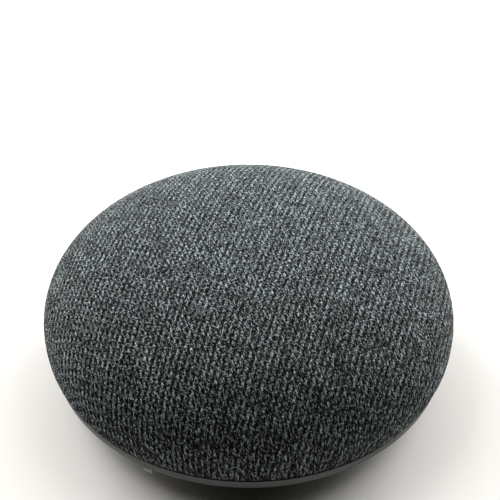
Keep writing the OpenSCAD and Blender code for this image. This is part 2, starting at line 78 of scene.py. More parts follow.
# Knit: one wale is a column of stitches, half a course is the step between staggered pits
WALE = 0.86 * MM
HALF_COURSE = 1.17 * MM
WALE_TURN = math.radians(110)
COVER_T = 1.0 * MM
HEM_ROUND = 0.8 * MM
HEM_IN_R = HALF_W - 3.5 * MM
PIT_DEPTH = 0.42 * MM
STRAND_RISE = 0.10 * MM
# Place of the raised strand beside each pit, along the stitch lattice's two diagonals
STRAND_AT = (0.46, -0.07)


# ---------- node graphs ----------


class Graph:
    """A material's node tree, with short calls for the nodes used here."""

    def __init__(self, name):
        self.material = bpy.data.materials.new(name)
        self.material.use_nodes = True
        self.tree = self.material.node_tree
        self.tree.nodes.clear()
        self.shader = self.node("ShaderNodeBsdfPrincipled")
        out = self.node("ShaderNodeOutputMaterial")
        self.tree.links.new(self.shader.outputs[0], out.inputs["Surface"])

    def node(self, kind, inputs=None, **settings):
        made = self.tree.nodes.new(kind)
        for key, value in settings.items():
            setattr(made, key, value)
        for key, value in (inputs or {}).items():
            self.put(made.inputs[key], value)
        return made

    def put(self, socket, value):
        if isinstance(value, bpy.types.NodeSocket):
            self.tree.links.new(value, socket)
        elif isinstance(value, tuple) and socket.type == "RGBA" and len(value) == 3:
            socket.default_value = (*value, 1.0)
        else:
            socket.default_value = value

    def set(self, **values):
        for key, value in values.items():
            self.put(self.shader.inputs[key.replace("_", " ")], value)

    def math(self, operation, a, b=0.0, c=0.0):
        inputs = {0: a, 1: b} if operation != "MULTIPLY_ADD" else {0: a, 1: b, 2: c}
        return self.node("ShaderNodeMath", inputs, operation=operation).outputs[0]

    def place(self):
        return self.node("ShaderNodeTexCoord").outputs["Object"]

    def scaled(self, vector, scale, turn=(0, 0, 0)):
        return self.node("ShaderNodeMapping", {0: vector, 2: turn, 3: scale}).outputs[0]

    def noise(self, vector, per_mm, detail=2.0, rough=0.5):
        inputs = {"Vector": vector, "Scale": per_mm / MM, "Detail": detail, "Roughness": rough}
        return self.node("ShaderNodeTexNoise", inputs).outputs["Fac"]

    def ramp(self, value, low, high, out_low=0.0, out_high=1.0):
        inputs = {0: value, 1: low, 2: high, 3: out_low, 4: out_high}
        return self.node("ShaderNodeMapRange", inputs).outputs[0]

    def mix(self, share, a, b, blend="MIX"):
        made = self.node("ShaderNodeMix", data_type="RGBA", blend_type=blend)
        for socket, value in ((made.inputs[0], share), (made.inputs[6], a), (made.inputs[7], b)):
            self.put(socket, value)
        return made.outputs[2]

    def bump(self, height, strength, distance):
        inputs = {"Height": height, "Strength": strength, "Distance": distance}
        self.set(Normal=self.node("ShaderNodeBump", inputs).outputs[0])


# ---------- materials ----------


def cover_knit():
    """Charcoal melange yarn with painted shade in the pits and behind the loops, and a painted highlight
    beside each pit. Attribute "stitch" counts wales and half courses.
    """
    g = Graph("cover_knit")
    stitch = g.node("ShaderNodeAttribute", attribute_name="stitch").outputs["Vector"]
    wobble = g.noise(stitch, 1.2 * MM, 1.0)
    split = g.node("ShaderNodeSeparateXYZ", {0: stitch})
    u = g.math("MULTIPLY_ADD", wobble, 0.34, split.outputs[0])
    v = g.math("MULTIPLY_ADD", wobble, -0.38, split.outputs[1])
    p = g.math("MULTIPLY", g.math("ADD", u, v), 0.5)
    q = g.math("MULTIPLY", g.math("SUBTRACT", u, v), 0.5)

    def spot(shift_p, shift_q, across, along):
        """Soft ellipse beside every stitch, and a random value of the stitch's own."""
        ps = g.math("SUBTRACT", p, shift_p)
        qs = g.math("SUBTRACT", q, shift_q)
        pn = g.math("ROUND", ps)
        qn = g.math("ROUND", qs)
        dp = g.math("SUBTRACT", ps, pn)
        dq = g.math("SUBTRACT", qs, qn)
        du = g.math("DIVIDE", g.math("ADD", dp, dq), across)
        dv = g.math("DIVIDE", g.math("SUBTRACT", dp, dq), along)
        far = g.math("ADD", g.math("MULTIPLY", du, du), g.math("MULTIPLY", dv, dv))
        cell = g.node("ShaderNodeCombineXYZ", {0: pn, 1: qn, 2: shift_p}).outputs[0]
        own = g.node("ShaderNodeTexWhiteNoise", {"Vector": cell}).outputs["Value"]
        return g.math("EXPONENT", g.math("MULTIPLY", far, -1.0)), own

    pit, pit_own = spot(0.0, 0.0, 0.35, 0.48)
    strand, strand_own = spot(*STRAND_AT, 0.30, 0.56)
    back, back_own = spot(0.02, -0.45, 0.34, 0.50)

    def strokes(turn, across, along, low, high):
        """Short bright strands of yarn that lie at an angle to the wales."""
        turned = g.scaled(stitch, (1, 1, 1), (0, 0, math.radians(turn)))
        return g.ramp(g.noise(g.scaled(turned, (across, along, 1)), 1.0 * MM, 2.0, 0.6), low, high)

    fibre = strokes(38, 2.7, 1.3, 0.48, 0.56)
    cross = strokes(-42, 2.5, 1.2, 0.51, 0.58)
    fleck = strokes(5, 3.0, 3.0, 0.44, 0.56)
    patch = g.noise(stitch, 0.22 * MM, 3.0, 0.65)

    light = g.math("MAXIMUM", fibre, cross)
    light = g.math("MULTIPLY", light, g.ramp(fleck, 0.0, 1.0, 0.12, 1.65))
    # The strand beside each pit is painted lighter, by a random amount for each stitch: a painted highlight
    # on the raised yarn.
    raised = g.math("MULTIPLY", strand, g.ramp(strand_own, 0, 1, 0.1, 1.3))
    light = g.math("MULTIPLY_ADD", raised, 0.75, light)
    # A spot of yarn behind the loops is painted mostly darker, by a random amount for each stitch that
    # lightens a few: painted shade.
    behind = g.math("MULTIPLY", back, g.ramp(back_own, 0, 1, -0.9, 0.3))
    light = g.math("MULTIPLY_ADD", behind, 0.5, light)
    light = g.math("MULTIPLY_ADD", g.ramp(patch, 0.35, 0.65), 0.35, light)
    light = g.math("POWER", g.math("MAXIMUM", g.math("MULTIPLY", light, 0.44), 0.0), 1.9)
    # The pits are painted near black, down to the near-black colour given to Base_Color: painted shade in the
    # knit's hollows.
    ragged = g.math("MULTIPLY_ADD", g.math("SUBTRACT", fleck, 0.5), -0.30, pit)
    pit_shade = g.math("MULTIPLY", g.ramp(ragged, 0.24, 0.50), g.ramp(pit_own, 0, 1, 0.80, 1.0))
    yarn = g.mix(light, (0.0020, 0.0024, 0.0027), (0.40, 0.452, 0.457))
    g.set(
        Base_Color=g.mix(pit_shade, yarn, (0.0010, 0.0011, 0.0012)),
        Roughness=0.9,
        Specular_IOR_Level=0.12,
        Sheen_Weight=0.03,
        Sheen_Roughness=0.42,
        Sheen_Tint=(0.80, 0.90, 0.93),
    )
    lift = g.math("MULTIPLY_ADD", fibre, 0.5, g.math("MULTIPLY", strand, 0.4))
    g.bump(g.math("MULTIPLY_ADD", pit, -0.9, lift), 0.75, 0.16 * MM)
    return g.material


def plastic(name, low, high, rough, grain=9.0, relief=0.010, coat=0.0):
    """Moulded plastic: fine spark-eroded grain, faint flow marks and uneven gloss."""
    g = Graph(name)
    at = g.place()
    flow = g.noise(at, 0.06, 3.0, 0.6)
    fine = g.noise(at, grain, 2.0, 0.6)
    pores = g.noise(at, grain * 0.33, 2.0, 0.7)
    g.set(
        Base_Color=g.mix(g.math("MULTIPLY_ADD", fine, 0.5, g.math("MULTIPLY", flow, 0.5)), low, high),
        Roughness=g.ramp(g.math("MULTIPLY_ADD", pores, 0.5, g.math("MULTIPLY", flow, 0.5)), 0.3, 0.7, *rough),
        Coat_Weight=coat,
    )
    g.bump(g.math("MULTIPLY_ADD", pores, 0.6, fine), 0.5, relief * MM)
    return g.material


def metal(name, low, high, rough, lines=(1, 1, 1), per_mm=3.0, relief=0.004):
    """Plated, drawn or cast metal. lines stretches the marks: a small number makes them long."""
    g = Graph(name)
    at = g.place()
    marks = g.noise(g.scaled(at, lines), per_mm, 3.0, 0.65)
    cloud = g.noise(at, 0.25, 2.0, 0.6)
    g.set(
        Base_Color=g.mix(g.math("MULTIPLY_ADD", marks, 0.5, g.math("MULTIPLY", cloud, 0.5)), low, high),
        Metallic=1.0,
        Roughness=g.ramp(
            g.math("MULTIPLY_ADD", cloud, 0.6, g.math("MULTIPLY", marks, 0.4)), 0.3, 0.7, *rough
        ),
    )
    g.bump(marks, 0.4, relief * MM)
    return g.material


def circuit_board():
    """Green solder mask over a mesh of copper tracks, with pale printed dashes."""
    g = Graph("circuit_board")
    at = g.place()
    tracks = g.node("ShaderNodeTexBrick", {"Vector": g.scaled(at, (1 / MM,) * 3), "Scale": 1.1})
    tracks.inputs["Color1"].default_value = (0.0, 0.0, 0.0, 1)
    tracks.inputs["Color2"].default_value = (0.25, 0.25, 0.25, 1)
    tracks.inputs["Mortar"].default_value = (1, 1, 1, 1)
    tracks.inputs["Mortar Size"].default_value = 0.10
    pads = g.node("ShaderNodeTexVoronoi", {"Vector": at, "Scale": 0.8 / MM}, feature="F1").outputs["Distance"]
    weave = g.noise(at, 2.5, 2.0)
    mask = g.mix(tracks.outputs["Color"], (0.006, 0.040, 0.018), (0.014, 0.085, 0.038))
    mask = g.mix(g.ramp(weave, 0.3, 0.7, 0.0, 0.35), mask, (0.004, 0.028, 0.014))
    g.set(
        Base_Color=g.mix(g.ramp(pads, 0.16, 0.12), mask, (0.55, 0.48, 0.30)),
        Roughness=g.ramp(weave, 0.3, 0.7, 0.28, 0.42),
        Coat_Weight=0.4,
    )
    g.bump(tracks.outputs["Color"], 0.3, 0.02 * MM)
    return g.material


def soft(name, low, high, rough, grain, relief, sheen=0.0, lines=(1, 1, 1)):
    """Rubber, foam, paper or cloth: a mottled body with fibres or pores along lines."""
    g = Graph(name)
    at = g.place()
    fibre = g.noise(g.scaled(at, lines), grain, 4.0, 0.65)
    mottle = g.noise(at, 0.35, 3.0, 0.6)
    g.set(
        Base_Color=g.mix(g.ramp(g.math("ADD", fibre, mottle), 0.7, 1.3), low, high),
        Roughness=g.ramp(fibre, 0.3, 0.7, *rough),
        Sheen_Weight=sheen,
    )
    g.bump(fibre, 0.6, relief * MM)
    return g.material


def woven(name, low, high, pitch, relief, rough=0.8):
    """Plain weave of threads pitch mm apart, as resin-dipped cloth has."""
    g = Graph(name)
    at = g.place()
    waves = []
    for axis in ("X", "Y"):
        inputs = {"Vector": at, "Scale": math.tau / (20 * pitch * MM), "Distortion": 0.6}
        waves.append(g.node("ShaderNodeTexWave", inputs, bands_direction=axis).outputs["Fac"])
    threads = g.math("MAXIMUM", waves[0], waves[1])
    stain = g.noise(at, 0.4, 2.0)
    g.set(
        Base_Color=g.mix(g.math("MULTIPLY_ADD", threads, 0.6, g.math("MULTIPLY", stain, 0.5)), low, high),
        Roughness=g.ramp(stain, 0.3, 0.7, rough - 0.1, rough + 0.1),
    )
    g.bump(threads, 0.7, relief * MM)
    return g.material


def lamp(name, low, high, rough, see_through=0.0):
    """Clear or milky plastic of the light guide and the lamps' lids."""
    g = Graph(name)
    at = g.place()
    haze = g.noise(at, 1.2, 3.0, 0.6)
    g.set(
        Base_Color=g.mix(haze, low, high),
        Roughness=g.ramp(haze, 0.3, 0.7, *rough),
        Transmission_Weight=see_through,
        IOR=1.49,
    )
    g.bump(haze, 0.2, 0.01 * MM)
    return g.material


MATERIALS = {
    "cover_knit": cover_knit(),
    "base_plastic": plastic("base_plastic", (0.088, 0.088, 0.088), (0.120, 0.121, 0.120), (0.42, 0.56)),
    "control_plastic": plastic("control_plastic", (0.30, 0.30, 0.30), (0.40, 0.40, 0.395), (0.34, 0.46)),
    "dark_plastic": plastic("dark_plastic", (0.010, 0.011, 0.012), (0.022, 0.023, 0.025), (0.40, 0.60)),
    "chip_black": plastic("chip_black", (0.008, 0.008, 0.009), (0.020, 0.020, 0.022), (0.45, 0.65), 14.0),
    "connector_ivory": plastic("connector_ivory", (0.62, 0.58, 0.48), (0.74, 0.70, 0.60), (0.35, 0.5)),
    "wire_red": plastic("wire_red", (0.30, 0.020, 0.014), (0.42, 0.035, 0.022), (0.32, 0.46), 6.0),
    "foot_silicone": soft("foot_silicone", (0.030, 0.031, 0.033), (0.052, 0.053, 0.055), (0.62, 0.8),
                          5.0, 0.02),
    "soft_black": soft("soft_black", (0.008, 0.008, 0.009), (0.020, 0.020, 0.021), (0.7, 0.95), 3.0, 0.06),
    "thermal_putty": soft("thermal_putty", (0.24, 0.33, 0.42), (0.36, 0.46, 0.54), (0.6, 0.8), 2.0, 0.05),
    "ferrite": soft("ferrite", (0.018, 0.017, 0.017), (0.050, 0.047, 0.046), (0.5, 0.75), 6.0, 0.02),
    "cone_paper": soft("cone_paper", (0.012, 0.013, 0.014), (0.040, 0.042, 0.044), (0.7, 0.9),
                       1.6, 0.06, 0.2),
    "film_amber": soft("film_amber", (0.42, 0.17, 0.030), (0.60, 0.27, 0.055), (0.22, 0.36), 1.2, 0.01,
                       lines=(1, 0.05, 1)),
    "spider_cloth": woven("spider_cloth", (0.28, 0.15, 0.050), (0.50, 0.30, 0.12), 0.45, 0.08),
    "screw_steel": metal("screw_steel", (0.36, 0.36, 0.37), (0.55, 0.55, 0.56), (0.24, 0.40)),
    "tin_plate": metal("tin_plate", (0.52, 0.52, 0.51), (0.68, 0.68, 0.67), (0.26, 0.42), (1, 1, 0.08)),
    "copper": metal("copper", (0.56, 0.23, 0.11), (0.78, 0.38, 0.20), (0.22, 0.38), (1, 1, 8)),
    "gold_plate": metal("gold_plate", (0.70, 0.46, 0.15), (0.86, 0.62, 0.26), (0.2, 0.34), (1, 1, 0.1)),
    "cast_aluminium": metal("cast_aluminium", (0.42, 0.43, 0.44), (0.62, 0.63, 0.64), (0.42, 0.62),
                            per_mm=5.0, relief=0.03),
    "light_clear": lamp("light_clear", (0.80, 0.84, 0.86), (0.90, 0.93, 0.95), (0.12, 0.30), 0.85),
    "led_white": lamp("led_white", (0.70, 0.66, 0.50), (0.86, 0.85, 0.78), (0.3, 0.5)),
    "circuit_board": circuit_board(),
}


def finish_cad_nodes():
    """Gives each CAD node the material of the record's slot that it was packed with."""
    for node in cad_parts.values():
        slot = node.data.materials[0].name.split(".")[0]
        node.data.materials[0] = MATERIALS[slot]


# ---------- mesh helpers ----------


def new_piece(name, points, faces, slot, body="housing"):
    """Smooth mesh object with its slot's material, riding on a body unless body is None."""
    mesh = bpy.data.meshes.new(name)
    mesh.from_pydata([tuple(p) for p in points], [], [tuple(int(i) for i in f) for f in faces])
    mesh.update()
    mesh.shade_smooth()
    made = bpy.data.objects.new(name, mesh)
    bpy.context.scene.collection.objects.link(made)
    mesh.materials.append(MATERIALS[slot])
    if body:
        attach(made, body)
    return made


def arc(centre, radius, start, end, steps):
    """Points [across, up] along an arc, with angles in degrees."""
    turns = np.radians(np.linspace(start, end, steps))
    return [(centre[0] + radius * math.cos(t), centre[1] + radius * math.sin(t)) for t in turns]


def rounded(outline, radius, steps=4):
    """The closed outline with each corner cut back to a round one."""
    made = []
    for before, corner, after in zip(outline[-1:] + outline[:-1], outline, outline[1:] + outline[:1]):
        a, c, b = Vector(before), Vector(corner), Vector(after)
        cut = min(radius, (a - c).length * 0.49, (b - c).length * 0.49)
        start, end = c + (a - c).normalized() * cut, c + (b - c).normalized() * cut
        for i in range(steps + 1):
            t = i / steps
            made.append(tuple(start * (1 - t) ** 2 + c * 2 * t * (1 - t) + end * t * t))
    return made


# ---------- knitted cover ----------


def cover_path():
    """Outside of the cover from the apex to the hem's rounding: radius and height at even steps."""
    t = np.linspace(math.pi / 2, 0, 3000)
    crown_r = HALF_W * np.cos(t) ** (2 / CROWN_R_EXP)
    crown_z = WIDEST_Z + (TOP_Z - WIDEST_Z) * np.sin(t) ** (2 / CROWN_Z_EXP)
    belly_z = np.linspace(WIDEST_Z, HEM_Z + HEM_ROUND, 400)[1:]
    belly_r = HALF_W * (1 - ((WIDEST_Z - belly_z) / WIDEST_Z) ** BELLY_EXP) ** (1 / BELLY_EXP)
    r = np.concatenate([crown_r, belly_r])
    z = np.concatenate([crown_z, belly_z])
    run = np.concatenate([[0], np.cumsum(np.hypot(np.diff(r), np.diff(z)))])
    even = np.linspace(0, run[-1], 2000)
    return np.interp(even, run, r), np.interp(even, run, z), even


PATH_R, PATH_Z, PATH_S = cover_path()
# A stretched knit keeps its pitch round the edge and opens a little down the sides
PATH_M = 0.55 * PATH_R + 0.45 * PATH_S
PATH_NORMAL = np.stack([-np.gradient(PATH_Z), np.gradient(PATH_R)])
PATH_NORMAL /= np.hypot(*PATH_NORMAL)
PATH_NORMAL[:, 0] = (0, 1)

STITCH_OWN = RNG.uniform(0.55, 1.1, (256, 256))
DRIFT = [(RNG.uniform(0.25, 0.9, 2) / (4 * MM), RNG.uniform(0, math.tau, 2)) for _ in range(6)]
DRIFT_BY = 0.035 * MM


def relief(u, v):
    """Height of the knit's surface, from staggered pits with a raised strand beside each one."""
    p, q = (u + v) / 2, (u - v) / 2

    def spots(shift_p, shift_q, across, along):
        deepest = np.zeros_like(u)
        for step_p in (0, 1):
            for step_q in (0, 1):
                near_p = np.floor(p - shift_p) + step_p
                near_q = np.floor(q - shift_q) + step_q
                own = STITCH_OWN[near_p.astype(int) % 256, near_q.astype(int) % 256]
                at_p, at_q = p - shift_p - near_p, q - shift_q - near_q
                far = ((at_p + at_q) / across) ** 2 + ((at_p - at_q) / along) ** 2
                deepest = np.maximum(deepest, own * np.exp(-far))
        return deepest

    pits = spots(0.0, 0.0, 0.27, 0.38)
    strands = spots(*STRAND_AT, 0.32, 0.62)
    return -PIT_DEPTH * pits + STRAND_RISE * strands


def on_dome(plane, height):
    """Points of the flat knit laid on the dome and raised by height along its normal."""
    m = np.hypot(plane[:, 0], plane[:, 1])
    turn = np.arctan2(plane[:, 1], plane[:, 0])
    r, z = np.interp(m, PATH_M, PATH_R), np.interp(m, PATH_M, PATH_Z)
    out = r + height * np.interp(m, PATH_M, PATH_NORMAL[0])
    up = z + height * np.interp(m, PATH_M, PATH_NORMAL[1])
    return np.stack([out * np.cos(turn), out * np.sin(turn), up], 1)


def drifted(plane):
    """The plane's points moved a little, smoothly, so that the rows of stitches wander."""
    moved = plane.copy()
    for wave, phase in DRIFT:
        moved[:, 0] += DRIFT_BY * np.sin(plane @ wave + phase[0])
        moved[:, 1] += DRIFT_BY * np.cos(plane @ wave[::-1] + phase[1])
    return moved


def ring(radius, z, count):
    turns = np.arange(count) * math.tau / count
    return np.stack([radius * np.cos(turns), radius * np.sin(turns), np.full(count, z)], 1)


def loop_faces(a, b, count):
    """Quads between two loops of count points that start at indices a and b."""
    i = np.arange(count)
    j = (i + 1) % count
    return np.stack([a + i, b + i, b + j, a + j], 1).tolist()


def knit_cover():
    """One closed sheet: knitted outside, rounded hem tucked into the seam, smooth back."""
    fine, per_wale = 480, 3
    reach = PATH_M[-1]
    half = int(reach / (WALE / per_wale)) + 2
    i, j = np.meshgrid(np.arange(-half, half + 1), np.arange(-half, half + 1), indexing="ij")
    u, v = i.ravel() / per_wale, j.ravel() / per_wale
    along = np.array([math.cos(WALE_TURN), math.sin(WALE_TURN)])
    across = np.array([-along[1], along[0]])
    plane = np.outer(u * WALE, across) + np.outer(v * HALF_COURSE, along)
    inside = (np.hypot(plane[:, 0], plane[:, 1]) < reach - 0.3 * MM).reshape(i.shape)
    whole = inside[:-1, :-1] & inside[1:, :-1] & inside[1:, 1:] & inside[:-1, 1:]
    used = np.zeros(i.shape, bool)
    for a in (slice(None, -1), slice(1, None)):
        for b in (slice(None, -1), slice(1, None)):
            used[a, b] |= whole
    number = np.full(i.shape, -1)
    number[used] = np.arange(used.sum())
    quads = np.stack(
        [number[:-1, :-1][whole], number[1:, :-1][whole], number[1:, 1:][whole], number[:-1, 1:][whole]], 1
    )
    keep = used.ravel()
    u, v, plane = u[keep], v[keep], plane[keep]

    # Join the stepped edge of the stitches to an even ring
    sides = np.concatenate([quads[:, [k, (k + 1) % 4]] for k in range(4)])
    _, where, uses = np.unique(np.sort(sides, 1), axis=0, return_index=True, return_counts=True)
    edge = sides[where[uses == 1]]
    rim = ring(reach, 0, fine)[:, :2]
    rim_at = len(plane) + np.arange(fine)
    flat = np.concatenate([plane, rim])
    members = np.unique(edge)
    local = {int(n): k for k, n in enumerate(np.concatenate([members, rim_at]))}
    back = np.concatenate([members, rim_at])
    edges = [(local[int(a)], local[int(b)]) for a, b in edge]
    edges += [(local[int(rim_at[k])], local[int(rim_at[(k + 1) % fine])]) for k in range(fine)]
    points = [Vector(p) for p in flat[back] / MM]
    out = delaunay_2d_cdt(points, edges, [], 1, 1e-6)
    back = [back[source[0]] for source in out[3]]
    band = []
    for face in out[2]:
        centre = flat[[back[n] for n in face]].mean(0)
        at_u = centre @ across / (WALE / per_wale) + half
        at_v = centre @ along / (HALF_COURSE / per_wale) + half
        cell = (int(math.floor(at_u)), int(math.floor(at_v)))
        outside = not (0 <= cell[0] < whole.shape[0] and 0 <= cell[1] < whole.shape[1])
        if outside or not whole[cell]:
            band.append([int(back[n]) for n in face])

    rim_u = rim @ across / WALE
    rim_v = rim @ along / HALF_COURSE
    u, v = np.concatenate([u, rim_u]), np.concatenate([v, rim_v])
    height = relief(u, v)
    shell = [on_dome(drifted(flat), height)]
    rim_r, rim_z = PATH_R[-1], PATH_Z[-1]
    shell[0][-fine:] = on_dome(rim, height[-fine:] * 0.5)

    # Rounded hem, its underside, then the edge that is tucked under the dome
    hem = arc((rim_r - HEM_ROUND, rim_z), HEM_ROUND, 0, -90, 6)[1:] + [(HEM_IN_R, HEM_Z)]
    faces = quads.tolist() + band
    last = len(flat) - fine
    count = len(flat)
    for radius, z in hem:
        shell.append(ring(radius, z, fine))
        faces += loop_faces(last, count, fine)
        last, count = count, count + fine

    # Back of the sheet, on a coarser mesh: a fan joins each coarse side to its fine ones
    fan = 5
    coarse = fine // fan
    shell.append(ring(HEM_IN_R, HEM_Z + COVER_T, coarse))
    for k in range(coarse):
        for step in range(fan):
            faces.append([last + fan * k + step, count + k, last + (fan * k + step + 1) % fine])
        faces.append([last + fan * (k + 1) % fine, count + k, count + (k + 1) % coarse])
    last, count = count, count + coarse
    low = HEM_Z + COVER_T
    steps = [k for k in np.linspace(len(PATH_R) - 1, 60, 18).astype(int) if PATH_Z[k] > low + 0.2 * MM]
    inner = [(HALF_W - 1.9 * MM, low)] + [
        (PATH_R[k] - COVER_T * PATH_NORMAL[0][k], PATH_Z[k] - COVER_T * PATH_NORMAL[1][k]) for k in steps
    ]
    for radius, z in inner:
        shell.append(ring(radius, z, coarse))
        faces += loop_faces(last, count, coarse)
        last, count = count, count + coarse
    shell.append(np.array([[0, 0, TOP_Z - COVER_T]]))
    faces += [[last + k, count, last + (k + 1) % coarse] for k in range(coarse)]

    # The hem and the back carry on the stitch count of the rim beside them
    points = np.concatenate(shell)
    cover = outward(new_piece("knit_cover", points, faces, "cover_knit"))
    stitch = np.zeros((len(points), 3), np.float32)
    turned = np.arctan2(points[:, 1], points[:, 0])
    outwards = np.stack([np.cos(turned), np.sin(turned)], 1)
    stitch[:, 0] = outwards @ across * reach / WALE
    stitch[:, 1] = outwards @ along * reach / HALF_COURSE
    stitch[: len(flat), 0], stitch[: len(flat), 1] = u, v
    cover.data.attributes.new("stitch", "FLOAT_VECTOR", "POINT").data.foreach_set("vector", stitch.ravel())
    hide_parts("fabric_cover")
    return cover


# ---------- turned and boxed pieces ----------


def turned_mesh(profile, count, closed=False):
    """Points and faces of a profile of (radius, height) turned round Z. Radius 0 makes one point."""
    points, faces, rows = [], [], []
    for radius, z in profile:
        rows.append((len(points), radius > 0))
        points.extend(ring(radius, z, count) if radius > 0 else [np.array([0, 0, z])])
    pairs = list(zip(rows, rows[1:])) + ([(rows[-1], rows[0])] if closed else [])
    for (a, a_ring), (b, b_ring) in pairs:
        for k in range(count):
            n = (k + 1) % count
            if a_ring and b_ring:
                faces.append([a + k, b + k, b + n, a + n])
            elif a_ring:
                faces.append([a + k, b, a + n])
            elif b_ring:
                faces.append([a, b + k, b + n])
    return points, faces


def outward(piece):
    """Turns every face of the piece's closed shells outward."""
    mesh = bmesh.new()
    mesh.from_mesh(piece.data)
    bmesh.ops.recalc_face_normals(mesh, faces=mesh.faces)
    mesh.to_mesh(piece.data)
    mesh.free()
    return piece


def sharpen(piece, angle=34):
    piece.data.set_sharp_from_angle(angle=math.radians(angle))
    return piece


def foot():
    """Silicone foot: soft edge, moulded groove and fine rings that grip the table."""
    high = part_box("foot_pad")[1]
    radius, top = high.x, high.z
    soft_edge, rib_pitch, rib_depth = 0.45 * MM, 1.5 * MM, 0.12 * MM
    profile = [(0, 0)]
    for rib in np.arange(5 * MM, radius - 5 * MM, rib_pitch):
        profile += [(rib + x * rib_pitch, rib_depth * (0.5 - 0.5 * math.cos(math.tau * x / 0.3)))
                    for x in np.linspace(0, 0.3, 6)]
    groove = [(radius - 3.6 * MM, 0), (radius - 3.4 * MM, 0.3 * MM), (radius - 2.6 * MM, 0.3 * MM),
              (radius - 2.4 * MM, 0)]
    profile += groove
    profile += arc((radius - soft_edge, soft_edge), soft_edge, -90, 0, 7)
    profile += arc((radius - soft_edge, top - soft_edge), soft_edge, 0, 90, 5) + [(0, top)]
    piece = outward(new_piece("foot", *turned_mesh(profile, 160), "foot_silicone"))
    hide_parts("foot_pad")
    return sharpen(piece, 50)


def at_azimuth(azimuth):
    """Turn that carries a piece built facing +Y to its place on the case."""
    return Matrix.Rotation(math.radians(-azimuth), 4, "Z")


def extruded(outline, low, high, edge):
    """Closed outline in XY raised from low to high, with its upper and lower edges rounded."""
    centre = np.mean(outline, axis=0)
    rows = [(low, edge), (low + 0.3 * edge, 0.3 * edge), (low + edge, 0), (high - edge, 0),
            (high - 0.3 * edge, 0.3 * edge), (high, edge)]
    count = len(outline)
    points = []
    for z, cut in rows:
        for x, y in outline:
            away = np.array([x, y]) - centre
            span = max(np.hypot(*away), 1e-9)
            points.append((*(np.array([x, y]) - away / span * cut), z))
    faces = [list(range(count))[::-1], list(range(count * (len(rows) - 1), count * len(rows)))]
    for row in range(len(rows) - 1):
        faces += loop_faces(row * count, (row + 1) * count, count)
    return points, faces


def joined(parts):
    """Several (points, faces) as one."""
    points, faces = [], []
    for more_points, more_faces in parts:
        start = len(points)
        points += [tuple(p) for p in more_points]
        faces += [[start + n for n in face] for face in more_faces]
    return points, faces


def box_outline(x0, x1, y0, y1, radius):
    return rounded([(x0, y0), (x1, y0), (x1, y1), (x0, y1)], radius)


def place(piece, matrix):
    piece.data.transform(matrix)
    piece.data.update()
    return piece


def mute_slider():
    """Ridged nub of the mute slider, with the plate and fork that it carries inside."""
    azimuth, travel, level = 26, 2.8 * MM, 7.0 * MM
    half_w, plate_y, nub_y = 1.1 * MM, 43.1 * MM, HALF_W - 1.85 * MM
    ridges = [(x * half_w, nub_y - 0.14 * MM * (1 - math.cos(x * math.pi * 4)) / 2 - 0.10 * MM * x**6)
              for x in np.linspace(1, -1, 33)]
    nub = extruded([(-half_w, plate_y - 0.2 * MM), (half_w, plate_y - 0.2 * MM)] + ridges,
                   level - 0.65 * MM, level + 0.65 * MM, 0.16 * MM)
    plate = extruded(box_outline(-2.6 * MM, 2.6 * MM, plate_y - 1.4 * MM, plate_y, 0.2 * MM),
                     level - 0.8 * MM, level + 1.9 * MM, 0.12 * MM)
    fork = extruded(box_outline(-0.55 * MM, 0.55 * MM, plate_y - 3.3 * MM, plate_y - 1.3 * MM, 0.12 * MM),
                    level + 1.0 * MM, level + 1.65 * MM, 0.08 * MM)
    piece = new_piece("mute_nub", *joined([nub, plate, fork]), "control_plastic", "mute_slider")
    place(piece, at_azimuth(azimuth) @ Matrix.Translation((travel / 2, 0, 0)))
    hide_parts("mute_slider")
    return sharpen(outward(piece), 40)


def reset_button():
    """Small pushed-in button with a dished face and a collar behind the wall."""
    azimuth, level, radius = -22, 5.6 * MM, 1.1 * MM
    face_y, collar_y = HALF_W - 7.2 * MM, HALF_W - 10 * MM
    dish = [(radius * 0.62 * x, face_y - 0.12 * MM * (1 - x * x)) for x in np.linspace(0, 1, 5)]
    profile = dish + arc((radius - 0.25 * MM, face_y - 0.25 * MM), 0.25 * MM, 90, 0, 6)
    profile += [(radius, collar_y + 0.7 * MM), (radius + 0.44 * MM, collar_y + 0.7 * MM),
                (radius + 0.5 * MM, collar_y + 0.64 * MM), (radius + 0.5 * MM, collar_y), (0, collar_y)]
    piece = new_piece("reset_cap", *turned_mesh(profile, 48), "control_plastic", "reset_button")
    face_out = Matrix.Rotation(math.radians(-90), 4, "X")
    place(piece, at_azimuth(azimuth) @ Matrix.Translation((0, 0, level)) @ face_out)
    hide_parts("reset_button")
    return sharpen(outward(piece), 40)


